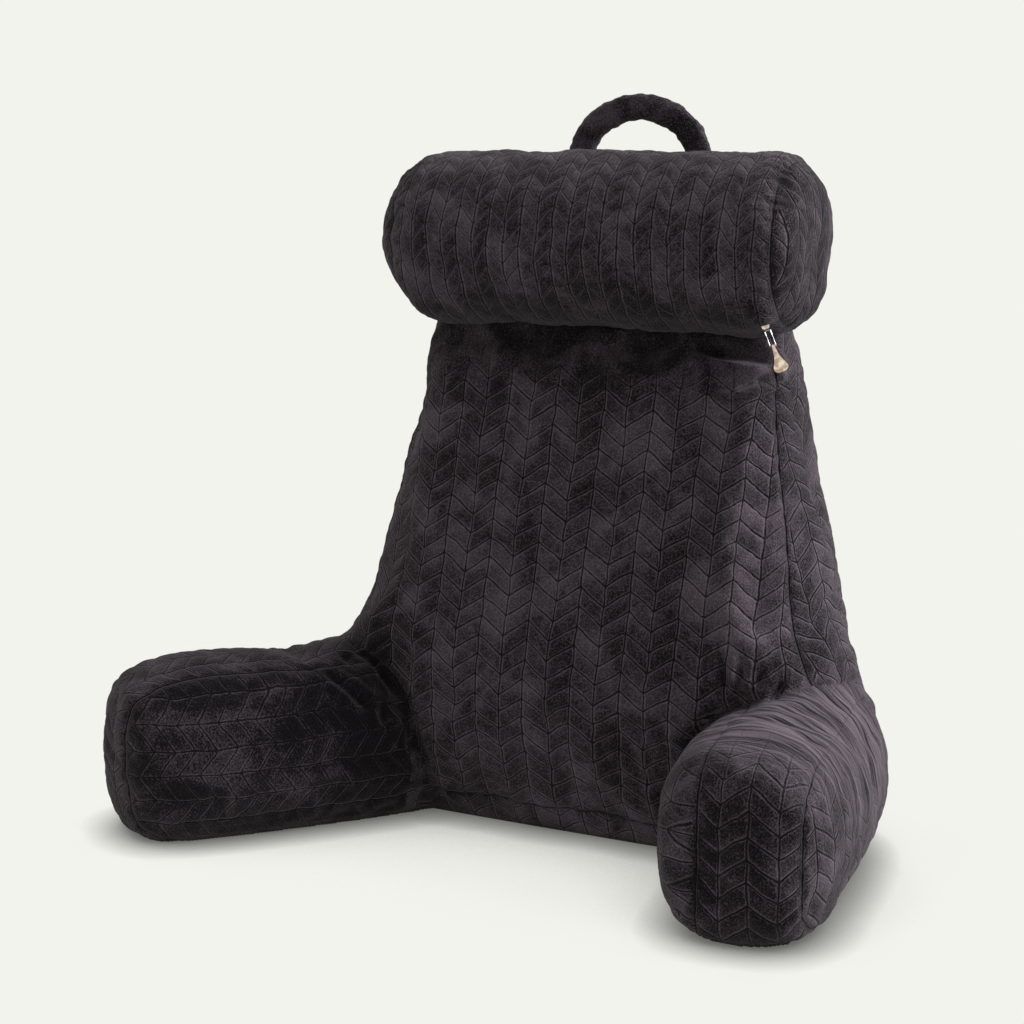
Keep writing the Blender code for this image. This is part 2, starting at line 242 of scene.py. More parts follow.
# %% The pressed herringbone
def herringbone(tree, place, column, spacing, rise, slanted_width=1.0):
    """How deep each place is pressed, the painted highlight on a line's shoulder, and painted shade by column
    and cell as its pile leans.
    """
    drift = add_node(tree, "ShaderNodeTexNoise", {"Vector": place, "Scale": 1 / WOBBLE_SIZE, "Detail": 1.0})
    drift = add_node(tree, "ShaderNodeVectorMath", {0: drift.outputs["Color"], 1: (0.5, 0.5, 0.5)},
                     operation="SUBTRACT")
    drift = add_node(tree, "ShaderNodeVectorMath", {0: drift, "Scale": WOBBLE}, operation="SCALE")
    cloth = add_node(tree, "ShaderNodeUVMap", uv_map="cloth")
    cloth = add_node(tree, "ShaderNodeVectorMath", {0: cloth, 1: drift}, operation="ADD")
    flat = add_node(tree, "ShaderNodeSeparateXYZ", {0: cloth})

    across = add_node(tree, "ShaderNodeMath", {0: flat.outputs["X"], 1: column}, operation="DIVIDE")
    share = add_node(tree, "ShaderNodeMath", {0: across}, operation="FRACT")
    number = add_node(tree, "ShaderNodeMath", {0: across}, operation="FLOOR")
    odd = add_node(tree, "ShaderNodeMath", {0: number, 1: 2.0}, operation="FLOORED_MODULO")
    slant = add_node(tree, "ShaderNodeMath", {0: share, 1: odd}, operation="SUBTRACT")
    slant = add_node(tree, "ShaderNodeMath", {0: slant}, operation="ABSOLUTE")
    up = add_node(tree, "ShaderNodeMath", {0: flat.outputs["Y"], 1: spacing}, operation="DIVIDE")
    up = add_node(tree, "ShaderNodeMath", {0: slant, 1: -rise / spacing, 2: up}, operation="MULTIPLY_ADD")

    thickness = spacing * column / math.hypot(column, rise) / slanted_width
    to_slanted = add_node(tree, "ShaderNodeMath", {0: up, 1: 0.5}, operation="PINGPONG")
    to_slanted = add_node(tree, "ShaderNodeMath", {0: to_slanted, 1: thickness}, operation="MULTIPLY")
    to_upright = add_node(tree, "ShaderNodeMath", {0: share, 1: 0.5}, operation="PINGPONG")
    to_upright = add_node(tree, "ShaderNodeMath", {0: to_upright, 1: column}, operation="MULTIPLY")
    line = add_node(tree, "ShaderNodeMath", {0: to_slanted, 1: to_upright, 2: LINE_CORNER},
                    operation="SMOOTH_MIN")
    seam = add_node(tree, "ShaderNodeAttribute", attribute_name="seam").outputs["Fac"]
    seam = add_node(tree, "ShaderNodeMath", {0: seam}, operation="ABSOLUTE")
    pressed, shoulder_highlight, sewn = [
        add_node(tree, "ShaderNodeMapRange", {"Value": value, "From Min": low, "From Max": high,
                                              "To Min": full, "To Max": 0.0},
                 interpolation_type="SMOOTHSTEP")
        for value, low, high, full in ((line, 0.0002, LINE_WIDTH, 1.0),
                                       (line, LINE_WIDTH * 0.8, LINE_WIDTH * 2.1, 1.0),
                                       (seam, 0.0003, THREAD_WIDTH, 0.85))]

    shown = add_node(tree, "ShaderNodeAttribute", attribute_name="pressed").outputs["Fac"]
    pressed = add_node(tree, "ShaderNodeMath", {0: pressed, 1: shown}, operation="MULTIPLY")
    pressed = add_node(tree, "ShaderNodeMath", {0: pressed, 1: sewn}, operation="MAXIMUM")
    shoulder_highlight = add_node(tree, "ShaderNodeMath", {0: shoulder_highlight, 1: shown}, operation="MULTIPLY")
    by_column = add_node(tree, "ShaderNodeMath", {0: odd, 1: 0.5}, operation="SUBTRACT")
    by_column = add_node(tree, "ShaderNodeMath", {0: by_column, 1: COLUMN_PAINTED_SHADE}, operation="MULTIPLY")
    by_cell = add_node(tree, "ShaderNodeMath", {0: up}, operation="FRACT")
    by_cell = add_node(tree, "ShaderNodeMath", {0: by_cell, 1: 0.5}, operation="SUBTRACT")
    painted_lean_shade = add_node(tree, "ShaderNodeMath", {0: by_cell, 1: CELL_PAINTED_SHADE, 2: by_column},
                    operation="MULTIPLY_ADD")
    painted_lean_shade = add_node(tree, "ShaderNodeMath", {0: painted_lean_shade, 1: shown}, operation="MULTIPLY")
    return pressed, shoulder_highlight, painted_lean_shade


# %% Plush
def plush(name, press=None):
    """Brushed plush, matt and light at a grazing angle, with a pressed herringbone if sizes are given."""
    material = bpy.data.materials.new(name)
    material.use_nodes = True
    tree = material.node_tree
    shader = tree.nodes["Principled BSDF"]
    for socket, value in (("Roughness", 0.92), ("Specular IOR Level", 0.12), ("Sheen Weight", 0.21),
                          ("Sheen Roughness", 0.38), ("Sheen Tint", linear(SHEEN_TINT))):
        shader.inputs[socket].default_value = value
    place = add_node(tree, "ShaderNodeTexCoord").outputs["Object"]

    clouds = add_node(tree, "ShaderNodeTexNoise", {"Vector": place, "Scale": 1 / CLOUD, "Detail": 3.0,
                                                   "Roughness": 0.55, "Distortion": 0.6})
    cloud = add_node(tree, "ShaderNodeMapRange", {"Value": clouds, "From Min": 0.36, "From Max": 0.68},
                     interpolation_type="SMOOTHSTEP")
    fuzz = add_node(tree, "ShaderNodeTexNoise", {"Vector": place, "Scale": 1 / FUZZ, "Detail": 2.0,
                                                 "Roughness": 0.7})
    sparkle = add_node(tree, "ShaderNodeMapRange", {"Value": fuzz, "From Min": 0.42, "From Max": 0.66,
                                                    "To Min": -0.06, "To Max": 0.46})
    tone_and_painted_light = add_node(tree, "ShaderNodeMath", {0: cloud, 1: CLOUD_LIGHT, 2: sparkle},
                      operation="MULTIPLY_ADD")
    height = add_node(tree, "ShaderNodeMath", {0: fuzz, 1: FUZZ_RELIEF}, operation="MULTIPLY")
    if press:
        pressed, shoulder_highlight, painted_lean_shade = herringbone(tree, place, **press)
        # painted shade by column and cell, a painted highlight on each line's shoulder, and painted shade in
        # the press lines and seams
        tone_and_painted_light = add_node(tree, "ShaderNodeMath", {0: tone_and_painted_light, 1: painted_lean_shade}, operation="ADD")
        tone_and_painted_light = add_node(tree, "ShaderNodeMath", {0: shoulder_highlight, 1: SHOULDER_PAINTED_HIGHLIGHT, 2: tone_and_painted_light}, operation="MULTIPLY_ADD")
        tone_and_painted_light = add_node(tree, "ShaderNodeMath", {0: pressed, 1: -PRESS_PAINTED_SHADE, 2: tone_and_painted_light},
                          operation="MULTIPLY_ADD")
        height = add_node(tree, "ShaderNodeMath", {0: pressed, 1: -PRESS_RELIEF, 2: height},
                          operation="MULTIPLY_ADD")

    # painted light and shade, one share stored on each point
    painted_light_and_shade = add_node(tree, "ShaderNodeAttribute", attribute_name="painted_light_and_shade").outputs["Fac"]
    tone_and_painted_light = add_node(tree, "ShaderNodeMath", {0: tone_and_painted_light, 1: painted_light_and_shade}, operation="ADD")
    brushed_with_painted_highlight = add_node(tree, "ShaderNodeAttribute", attribute_name="brushed_with_painted_highlight").outputs["Fac"]
    stretched = add_node(tree, "ShaderNodeVectorMath", {0: place, 1: STREAK_STRETCH}, operation="MULTIPLY")
    streaks = add_node(tree, "ShaderNodeTexNoise", {"Vector": stretched, "Scale": 1.0, "Detail": 2.0})
    # brushed streaks painted light, a painted highlight on the right arm's crest and flanks
    painted_streak_highlight = add_node(tree, "ShaderNodeMath", {0: streaks, 1: 4.4, 2: -1.68}, operation="MULTIPLY_ADD")
    tone_and_painted_light = add_node(tree, "ShaderNodeMix", {"Factor": brushed_with_painted_highlight, "A": tone_and_painted_light, "B": painted_streak_highlight}, clamp_factor=True)
    ridge = add_node(tree, "ShaderNodeMath", {0: streaks, 1: brushed_with_painted_highlight}, operation="MULTIPLY")
    height = add_node(tree, "ShaderNodeMath", {0: ridge, 1: STREAK_RELIEF, 2: height},
                      operation="MULTIPLY_ADD")

    colour = add_node(tree, "ShaderNodeMix", {"Factor": tone_and_painted_light.outputs["Result"], "A": linear(PILE_DARK),
                                              "B": linear(PILE_LIGHT)}, data_type="RGBA")
    tree.links.new(colour.outputs["Result"], shader.inputs["Base Color"])
    relief = add_node(tree, "ShaderNodeBump", {"Height": height, "Strength": 1.0, "Distance": 1.0})
    tree.links.new(relief.outputs[0], shader.inputs["Normal"])
    print(name, "with", len(tree.nodes), "nodes")
    return material


BODY_PRESS = {"column": 0.025, "spacing": 0.019, "rise": 0.017}
ROLL_PRESS = {"column": 0.016, "spacing": 0.0185, "rise": 0.018}
body_plush = plush("brushed_plush_body", BODY_PRESS)
roll_plush = plush("brushed_plush_roll", {**ROLL_PRESS, "slanted_width": 0.6})
strap_plush = plush("brushed_plush_strap")

# %% [markdown]
# ## From solids to one even skin
# The backrest and both arms are one sewn cover, so copies of their solids are welded, grown by a hair so
# that they meet, and wrapped by a voxel remesh in one skin of even squares. A remesh forgets where the
# seams are, so they are worked out afterwards, from the solids.


# %% Wrap solids in one skin
def wrap(new_name, names, voxel, grow):
    """One even skin round copies of the named solids."""
    bpy.ops.object.select_all(action="DESELECT")
    parts = []
    for name in names:
        part = bpy.data.objects.new(new_name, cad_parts[name].data.copy())
        SCENE.collection.objects.link(part)
        part.data.materials.clear()
        part.select_set(True)
        bpy.context.view_layer.objects.active = part
        parts.append(part)
    bpy.ops.object.mode_set(mode="EDIT")
    bpy.ops.mesh.select_all(action="SELECT")
    bpy.ops.mesh.remove_doubles(threshold=0.00001)
    bpy.ops.object.mode_set(mode="OBJECT")
    for part in parts:
        push(part, grow)
    if len(parts) > 1:
        bpy.ops.object.join()
    skin = bpy.context.view_layer.objects.active
    skin.name = new_name
    skin.data.name = new_name
    even = skin.modifiers.new("even squares", "REMESH")
    even.mode = "VOXEL"
    even.voxel_size = voxel
    apply_modifiers(skin)
    print(new_name, "wrapped in", len(skin.data.polygons), "squares")
    return skin


BODY_VOXEL = 0.0055
GROWTH = 0.001                 # metres, so that neighbouring solids meet
body = wrap("pillow_body", ("backrest", "arm_left", "arm_right"), BODY_VOXEL, GROWTH)

# %% [markdown]
# ## Where the panels are
# Each panel of cloth is flat before it is sewn, so every point gets a flat coordinate on its panel. On
# the backrest that is the distance round a level section, measured from the middle of the front. On an
# arm it is the distance along it and across it, and the strip's length is unrolled over the tip.

# %% Level sections of the backrest
LEVELS = np.linspace(0.004, 0.490, 25)
TURNS = np.linspace(-math.pi, math.pi, 241)     # 0 at the middle of the front, positive to the right
FRONT_SEAM_TURN = math.radians(54.0)
BACK_SEAM_TURN = math.radians(133.0)


def level_section(solid, z):
    """A level cut: its middle and half sizes, and the distance round it from the middle of the front."""
    cut = bmesh.new()
    cut.from_mesh(solid.data)
    bmesh.ops.remove_doubles(cut, verts=cut.verts, dist=0.00001)
    found = bmesh.ops.bisect_plane(cut, geom=cut.verts[:] + cut.edges[:] + cut.faces[:],
                                   plane_co=(0.0, 0.0, z), plane_no=(0.0, 0.0, 1.0))
    ring = np.array([v.co[:2] for v in found["geom_cut"] if isinstance(v, bmesh.types.BMVert)])
    cut.free()
    middle, half = (ring.min(0) + ring.max(0)) / 2, (ring.max(0) - ring.min(0)) / 2

    def turn_of(places):
        return np.arctan2((places[:, 0] - middle[0]) / half[0], -(places[:, 1] - middle[1]) / half[1])

    ring = ring[np.argsort(turn_of(ring))]
    fine = np.concatenate([np.linspace(a, b, 24, endpoint=False) for a, b in zip(ring, np.roll(ring, -1, 0))])
    fine = np.roll(fine, -int(np.argmin(turn_of(fine))), axis=0)
    length = np.concatenate(([0.0], np.cumsum(np.hypot(*np.diff(fine, axis=0).T))))
    lengths = np.interp(TURNS, turn_of(fine), length)
    return (*middle, *half), lengths - lengths[len(TURNS) // 2]


measured = [level_section(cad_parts["backrest"], z) for z in LEVELS]
SECTION_BOXES = np.array([box for box, _ in measured])
SECTION_LENGTHS = np.array([lengths for _, lengths in measured])
FRONT_LENGTHS = np.concatenate(([0.0], np.cumsum(np.hypot(
    np.diff(LEVELS), np.diff(SECTION_BOXES[:, 1] - SECTION_BOXES[:, 3])))))


def round_backrest(points, turn=None):
    """Distance round the level section, from the middle of the front, to each point or to a turn."""
    level = np.clip(np.interp(points[:, 2], LEVELS, np.arange(len(LEVELS))), 0, len(LEVELS) - 1.001)
    if turn is None:
        x, y, half_x, half_y = (np.interp(points[:, 2], LEVELS, column) for column in SECTION_BOXES.T)
        turn = np.arctan2((points[:, 0] - x) / half_x, -(points[:, 1] - y) / half_y)
    step = np.clip((turn + math.pi) / (2 * math.pi) * (len(TURNS) - 1), 0, len(TURNS) - 1.001)
    step = step + np.zeros(len(points))
    row, column, up, on = level.astype(int), step.astype(int), level % 1.0, step % 1.0
    lower = SECTION_LENGTHS[row, column] * (1 - on) + SECTION_LENGTHS[row, column + 1] * on
    upper = SECTION_LENGTHS[row + 1, column] * (1 - on) + SECTION_LENGTHS[row + 1, column + 1] * on
    return lower * (1 - up) + upper * up


print("front panel is", round(2 * float(round_backrest(np.array([[0, 0, 0.25]]), FRONT_SEAM_TURN)[0]), 3),
      "m wide half way up")

# %% Arm coordinates
# root x, root y, turn towards the right in degrees, side of the inner panel, middle of the strip
ARMS = {"left": (-0.1473, 0.0215, -40.0, 1.0, 0.0), "right": (0.2717, 0.0835, 7.0, -1.0, 0.014)}
ARM_REACH = 0.297
ARM_ROOT = 0.015               # behind this, an arm is part of the backrest's side panel
STRIP_HALF = 0.045
TIP_RADIUS = 0.085
ARM_MIDDLE_Z = 0.083


def arm_coordinates(points, arm):
    """Distances along an arm and across it, and its two directions."""
    root_x, root_y, turn = ARMS[arm][:3]
    forward = np.array([math.sin(math.radians(turn)), -math.cos(math.radians(turn)), 0.0])
    sideways = np.array([-forward[1], forward[0], 0.0])
    offset = points - np.array([root_x, root_y, 0.0])
    return offset @ forward, offset @ sideways, forward, sideways


def strip_length(along, z):
    """Distance along the strip: out over the top, round the tip and back underneath."""
    start = ARM_REACH - TIP_RADIUS
    over = start + TIP_RADIUS * np.arctan2(np.maximum(along - start, 0.0), z - ARM_MIDDLE_Z)
    beneath = start + math.pi * TIP_RADIUS + (start - along)
    return np.where(along > start, over, np.where(z > ARM_MIDDLE_Z, along, beneath))


print("the arms turn towards the right by", [ARMS[arm][2] for arm in ARMS], "degrees")

# %% Panels, flat coordinates and distance to the nearest seam
FRONT, SIDE_RIGHT, SIDE_LEFT, BACK, BASE, INNER_LEFT, STRIP_LEFT, INNER_RIGHT, STRIP_RIGHT = range(9)
FAR = 1.0                      # metres, further than any seam
LOW_SEAM_Z = 0.027             # metres, the seam low on the front


def distance_to(node, points):
    """Distance from each point to a solid's surface."""
    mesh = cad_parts[node].data
    tree = BVHTree.FromPolygons([v.co for v in mesh.vertices], [p.vertices[:] for p in mesh.polygons])
    return np.array([tree.find_nearest(point)[3] for point in points.tolist()])


def over_surface(distance, normals, direction):
    """A distance to a plane, turned to the distance over the surface."""
    return np.abs(distance) / np.sqrt(np.maximum(1.0 - (normals @ direction) ** 2, 0.05))


def survey(points, normals):
    """Panel, nearest solid, distance to the nearest seam and distance to the crease at an arm's root."""
    away = {"body": distance_to("backrest", points), "left": distance_to("arm_left", points),
            "right": distance_to("arm_right", points)}
    nearest = np.argmin(np.array([away["body"], away["left"], away["right"]]), axis=0)
    around = round_backrest(points)
    turns = (-BACK_SEAM_TURN, -FRONT_SEAM_TURN, FRONT_SEAM_TURN, BACK_SEAM_TURN)
    corners = np.array([round_backrest(points, turn) for turn in turns])
    panel = np.array((BACK, SIDE_LEFT, FRONT, SIDE_RIGHT, BACK))[(around > corners).sum(0)]
    seam = np.abs(around - corners).min(0)
    seam = np.minimum(seam, np.where(panel == FRONT, 2.2 * np.abs(points[:, 2] - LOW_SEAM_Z), FAR))
    crease = np.full(len(points), FAR)
    for number, arm in ((1, "left"), (2, "right")):
        along, across, _, sideways = arm_coordinates(points, arm)
        inner, middle = ARMS[arm][3:]
        offset = across - middle
        here = nearest == number
        root = along < ARM_ROOT
        strip = here & ~root & (np.abs(offset) < STRIP_HALF)
        inside = here & ~root & (offset * inner >= STRIP_HALF)
        outside = here & (root | (offset * inner <= -STRIP_HALF))
        panel[strip] = STRIP_LEFT if arm == "left" else STRIP_RIGHT
        panel[inside] = INNER_LEFT if arm == "left" else INNER_RIGHT
        panel[outside] = SIDE_LEFT if arm == "left" else SIDE_RIGHT
        edge = over_surface(np.abs(offset) - STRIP_HALF, normals, sideways)
        seam = np.where(here, np.where(root, FAR, edge), seam)
        gap = np.maximum(away["body"], away[arm])
        faces_in = smoothstep(-0.02, 0.02, offset * inner)
        crease = np.minimum(crease, np.where(faces_in > 0.5, gap, FAR))
    panel[(normals[:, 2] < -0.8) & (points[:, 2] < 0.012)] = BASE
    return panel, nearest, seam, crease


def flat_on(panel, points):
    """Flat coordinates of each point on one panel: across the columns, then along them."""
    x, y, z = points.T
    if panel == BASE:
        return x, y
    if panel == BACK:
        return x, z
    if panel in (INNER_LEFT, STRIP_LEFT, INNER_RIGHT, STRIP_RIGHT):
        arm = "left" if panel in (INNER_LEFT, STRIP_LEFT) else "right"
        along, across, _, _ = arm_coordinates(points, arm)
        if panel in (INNER_LEFT, INNER_RIGHT):
            return z, along
        return across - ARMS[arm][4], strip_length(along, z)
    around = round_backrest(points)
    up = np.interp(z, LEVELS, FRONT_LENGTHS) + np.maximum(z - LEVELS[-1], 0.0)
    if panel in (SIDE_LEFT, SIDE_RIGHT):
        arm, sign = ("left", -1.0) if panel == SIDE_LEFT else ("right", 1.0)
        along, _, _, sideways = arm_coordinates(points, arm)
        joint = np.array([[*(np.array(ARMS[arm][:2]) - sideways[:2] * ARMS[arm][3] * 0.08), 0.1]])
        joint_around = float(round_backrest(joint)[0])
        on_arm = along > 0.0
        return np.where(on_arm, joint_around - sign * along, around), z
    return around, up


rest = points_of(body)
panel, nearest, seam, crease = survey(rest, normals_of(body))
print("points on each panel:", np.bincount(panel, minlength=9).tolist())

# %% [markdown]
# ## Stuff the cover
# On the outer side an arm grows out of the backrest in one sweep of cloth, so the notch that the solids
# leave there is smoothed away. The skin then starts a few millimetres small. The arms' seams, the creases
# at their roots, the underside and the place under the roll are held, and cloth simulation with pressure
# inside swells each panel between them. No point may move further than a cap.


# %% Sweep the outer junctions
SWEEP_FILL = 0.012             # metres by which the sweep's cloth stands out of the notch


def set_group(piece, name, weights):
    """A vertex group with one weight for each point."""
    group = piece.vertex_groups.new(name=name)
    for step in np.unique(np.round(weights[weights > 0.01], 2)):
        group.add(np.nonzero(np.round(weights, 2) == step)[0].tolist(), float(step), "REPLACE")
    return group.name


def junction_weight(points):
    """How far each point's surroundings belong to the sweep from backrest to arm."""
    weight = np.zeros(len(points))
    to_body = distance_to("backrest", points)
    for arm in ARMS:
        to_arm = distance_to("arm_" + arm, points)
        _, across, _, _ = arm_coordinates(points, arm)
        inner, middle = ARMS[arm][3:]
        outward = smoothstep(-0.052, 0.005, -(across - middle) * inner)
        near = 1.0 - smoothstep(0.02, 0.075, np.maximum(to_body, to_arm))
        weight = np.maximum(weight, outward * near * smoothstep(0.006, 0.03, points[:, 2]))
    return weight


def smooth(piece, name, rounds, weights=None):
    """Even out a skin, everywhere or by a weight for each point."""
    even_out = piece.modifiers.new(name, "SMOOTH")
    even_out.factor = 0.5
    even_out.iterations = rounds
    if weights is not None:
        even_out.vertex_group = set_group(piece, name, weights)


junction = junction_weight(rest)
push(body, SWEEP_FILL * junction)
smooth(body, "sweep", 90, junction)
smooth(body, "ease", 3)
apply_modifiers(body)
rest = points_of(body)
panel, nearest, seam, crease = survey(rest, normals_of(body))
print("swept the arms' roots")


# %% Simulate the stuffing
STUFFING_FRAMES = 20


def stuff(piece, held, cap, pressure=4.0, slack=-0.02):
    """Swell a skin between its held points, let no point move further than the cap, and settle it."""
    before = points_of(piece)
    cloth = piece.modifiers.new("stuffing", "CLOTH")
    cloth.settings.quality = 4
    cloth.settings.vertex_group_mass = set_group(piece, "held", held.astype(float))
    cloth.settings.use_pressure = True
    cloth.settings.uniform_pressure_force = pressure
    cloth.settings.shrink_min = slack
    cloth.settings.effector_weights.gravity = 0.0
    cloth.point_cache.frame_end = STUFFING_FRAMES
    for number in range(1, STUFFING_FRAMES + 1):
        SCENE.frame_set(number)
    apply_modifiers(piece)
    SCENE.frame_set(1)
    moved = points_of(piece) - before
    distance = np.linalg.norm(moved, axis=1, keepdims=True)
    place_points(piece, before + moved * np.minimum(1.0, cap / np.maximum(distance, 1e-9)))
    print(piece.name, "swelled by up to", round(1000 * float(distance.max()), 1), "mm before the cap")


def keep_rest(piece, points):
    """Store where each point was before the stuffing, so that finer points find it too."""
    layer = piece.data.attributes.new("rest", "FLOAT_VECTOR", "POINT")
    layer.data.foreach_set("vector", np.asarray(points, float).ravel())


def refine(piece):
    """Divide every square once, and return where the finer points were before the stuffing."""
    finer = piece.modifiers.new("finer squares", "SUBSURF")
    finer.levels = 1
    finer.render_levels = 1
    apply_modifiers(piece)
    flat = np.empty(len(piece.data.vertices) * 3)
    piece.data.attributes["rest"].data.foreach_get("vector", flat)
    return flat.reshape(-1, 3)


START_SMALLER = 0.003
to_roll = distance_to("neck_roll", rest)
push(body, -START_SMALLER * smoothstep(0.0, 0.03, rest[:, 2]))
keep_rest(body, rest)
held = (seam < 0.004) & (nearest > 0) | (crease < 0.006) | (rest[:, 2] < 0.006) | (to_roll < 0.020)
stuff(body, held, cap=0.0055)
rest = refine(body)
print("body has", len(body.data.polygons), "squares")

# %% [markdown]
# ## Seams, puckers, folds and the pressed pattern
# A seam pulls the pile down in a narrow groove, and the thread gathers the cloth beside it in small
# ridges at right angles to it. Bigger folds run from the arms' roots, under the zip and under the roll.
# They are placed one by one. The stuffing shows as slow lumps, and last the herringbone is pressed in,
# about a millimetre deep. All of it is one height for each point, and the skin is pushed by that height.


# %% Helpers for relief
def ripple(points, wavelength, seed, count=24):
    """A smooth bumpy field between about -1 and 1, the same every time for one seed."""
    random = np.random.default_rng(seed)
    directions = random.normal(size=(count, 3))
    directions /= np.linalg.norm(directions, axis=1, keepdims=True)
    waves = 2 * math.pi / (wavelength * random.uniform(0.7, 1.5, count))
    phases = random.uniform(0, 2 * math.pi, count)
    field = np.zeros(len(points))
    for direction, wave, phase in zip(directions, waves, phases):
        field += np.sin(points @ direction * wave + phase)
    return field / math.sqrt(count)


def gathers(length, distance, seed, spacing=0.017, reach=0.012):
    """Small ridges at right angles to a seam, from the distance along it and away from it."""
    random = np.random.default_rng(seed)
    wander = sum(np.sin(length * k + random.uniform(0, 6.3)) for k in (31.0, 57.0, 93.0))
    swell = 0.6 + 0.4 * np.sin(length * 21.0 + random.uniform(0, 6.3))
    return swell * np.sin(2 * math.pi * length / spacing + 1.8 * wander) * np.exp(-distance / reach)


def press_distance(u, v, column, spacing, rise):
    """Distance to the nearest line of the pressed herringbone."""
    share = (u / column) % 1.0
    odd = np.floor(u / column) % 2
    up = (v - rise * np.abs(share - odd)) / spacing
    to_slanted = np.abs(up - np.round(up)) * spacing * column / math.hypot(column, rise)
    to_upright = np.minimum(share, 1 - share) * column
    return np.minimum(to_slanted, to_upright)


def groove(distance, depth, half_width):
    """A soft groove along a line, from the distance to that line."""
    return -depth * np.exp(-(distance / half_width) ** 2)


def fold(points, start, end, width, depth, lip=0.45):
    """A valley between two places, with a soft lip along its sides."""
    start, end = np.array(start), np.array(end)
    line = end - start
    share = np.clip((points - start) @ line / (line @ line), 0.0, 1.0)
    distance = np.linalg.norm(points - start - share[:, None] * line, axis=1)
    valley = np.exp(-(distance / width) ** 2)
    ridge = np.exp(-((distance - 2.0 * width) / (0.9 * width)) ** 2)
    taper = 0.35 + 0.65 * np.sin(math.pi * np.clip(share, 0.03, 0.97))
    return depth * taper * (lip * ridge - valley)


def lay_out(piece, panels, face_panels, flat, rest):
    """Write the map "cloth", in metres, each face on its own panel."""
    loops = np.empty(len(piece.data.loops), int)
    piece.data.loops.foreach_get("vertex_index", loops)
    totals = np.empty(len(piece.data.polygons), int)
    piece.data.polygons.foreach_get("loop_total", totals)
    loop_panel = np.repeat(face_panels, totals)
    coordinates = np.zeros((len(loops), 2))
    for number in panels:
        here = loop_panel == number
        u, v = flat(number, rest)
        coordinates[here] = np.stack([u, v], axis=1)[loops[here]]
    layer = piece.data.uv_layers.new(name="cloth")
    layer.data.foreach_set("uv", coordinates.ravel())


def keep_share(piece, name, values):
    """Store one number for each point, for the material to read."""
    layer = piece.data.attributes.new(name, "FLOAT", "POINT")
    layer.data.foreach_set("value", np.clip(values, -1.0, 1.0))


def face_middles(piece, values):
    """The mean of a point value over each four-sided face's corners."""
    corners = np.array([p.vertices[:4] for p in piece.data.polygons])
    return values[corners].mean(1)


# %% Panels and distances of the finer points
normals = normals_of(body)
panel, nearest, seam, crease = survey(rest, normals)
up = rest[:, 2]
u, v = np.zeros(len(rest)), np.zeros(len(rest))
for number in range(9):
    here = panel == number
    u[here], v[here] = flat_on(number, rest[here])
print(int((seam < 0.005).sum()), "points lie within 5 mm of a seam")

# %% Grooves and gathers along the seams
SEAM_GROOVE = (0.0006, 0.0030)         # depth and half width, metres
CREASE_GROOVE = (0.0050, 0.0070)
SEAM_GATHER = 0.0007           # metres, height of the ridges beside a seam
CREASE_GATHER = 0.0016

height = groove(seam, *SEAM_GROOVE) + groove(crease, *CREASE_GROOVE)
height += SEAM_GATHER * gathers(v, seam, 1)
height += CREASE_GATHER * gathers(up + rest[:, 0] * 0.4, crease, 2, 0.024, 0.020)
print("deepest groove", round(-1000 * float(height.min()), 1), "mm")

# %% Folds of the body
# start, end, half width and depth, in metres
BODY_FOLDS = (
    # at the left arm's root
    ((-0.162, -0.080, 0.153), (-0.126, -0.073, 0.124), 0.0050, 0.0105),
    ((-0.163, -0.050, 0.161), (-0.111, -0.061, 0.108), 0.0050, 0.0110),
    ((-0.150, -0.032, 0.163), (-0.104, -0.046, 0.135), 0.0045, 0.0075),
    # the tuck under the zip
    ((0.165, 0.052, 0.479), (0.240, 0.062, 0.468), 0.0065, 0.0120),
    ((0.240, 0.062, 0.456), (0.216, 0.050, 0.445), 0.0050, 0.0095),
    ((0.218, 0.050, 0.446), (0.186, 0.045, 0.440), 0.0045, 0.0065),
    # under the roll
    ((-0.134, 0.075, 0.466), (0.020, 0.053, 0.474), 0.0120, 0.0040),
    ((0.040, 0.053, 0.468), (0.150, 0.053, 0.476), 0.0100, 0.0035),
    # puckers where the right arm's strip starts
    ((0.226, -0.020, 0.203), (0.232, -0.032, 0.172), 0.0040, 0.0065),
    ((0.244, -0.016, 0.200), (0.246, -0.034, 0.170), 0.0035, 0.0055),
    ((0.262, -0.012, 0.194), (0.262, -0.034, 0.172), 0.0035, 0.0048),
    ((0.280, -0.006, 0.188), (0.279, -0.028, 0.172), 0.0035, 0.0042),
)

for start, end, width, depth in BODY_FOLDS:
    height += fold(rest, start, end, width, depth)
print(len(BODY_FOLDS), "folds, the deepest", round(-1000 * float(height.min()), 1), "mm")

# %% Lumps of the stuffing
LUMPS = ((0.0013, 0.085, 3), (0.0005, 0.028, 4))       # height, wavelength in metres, seed
RUMPLE = (0.0020, 0.034)       # height and wavelength of the front just under the roll

for rise, wavelength, seed in LUMPS:
    height += rise * ripple(rest, wavelength, seed)
height += RUMPLE[0] * ripple(rest, RUMPLE[1], 11) * (panel == FRONT) * smoothstep(0.43, 0.455, up)
print("highest lump", round(1000 * float(height.max()), 1), "mm")

# %% Where the pattern is pressed
PLAIN_TOP = (0.425, 0.465)     # metres up the front, where the pattern fades out
INNER_LEFT_PRESS = 0.65        # the pattern is fainter there

plain_top = 1.0 - smoothstep(*PLAIN_TOP, up + 0.006 * ripple(rest, 0.05, 5))
pressed = smoothstep(0.002, 0.007, np.minimum(seam, crease)) * np.where(panel == FRONT, plain_top, 1.0)
pressed[panel == BASE] = 0.0
pressed[panel == INNER_LEFT] *= INNER_LEFT_PRESS
print("the pattern reaches", round(100 * float((pressed > 0.5).mean())), "percent of the points")

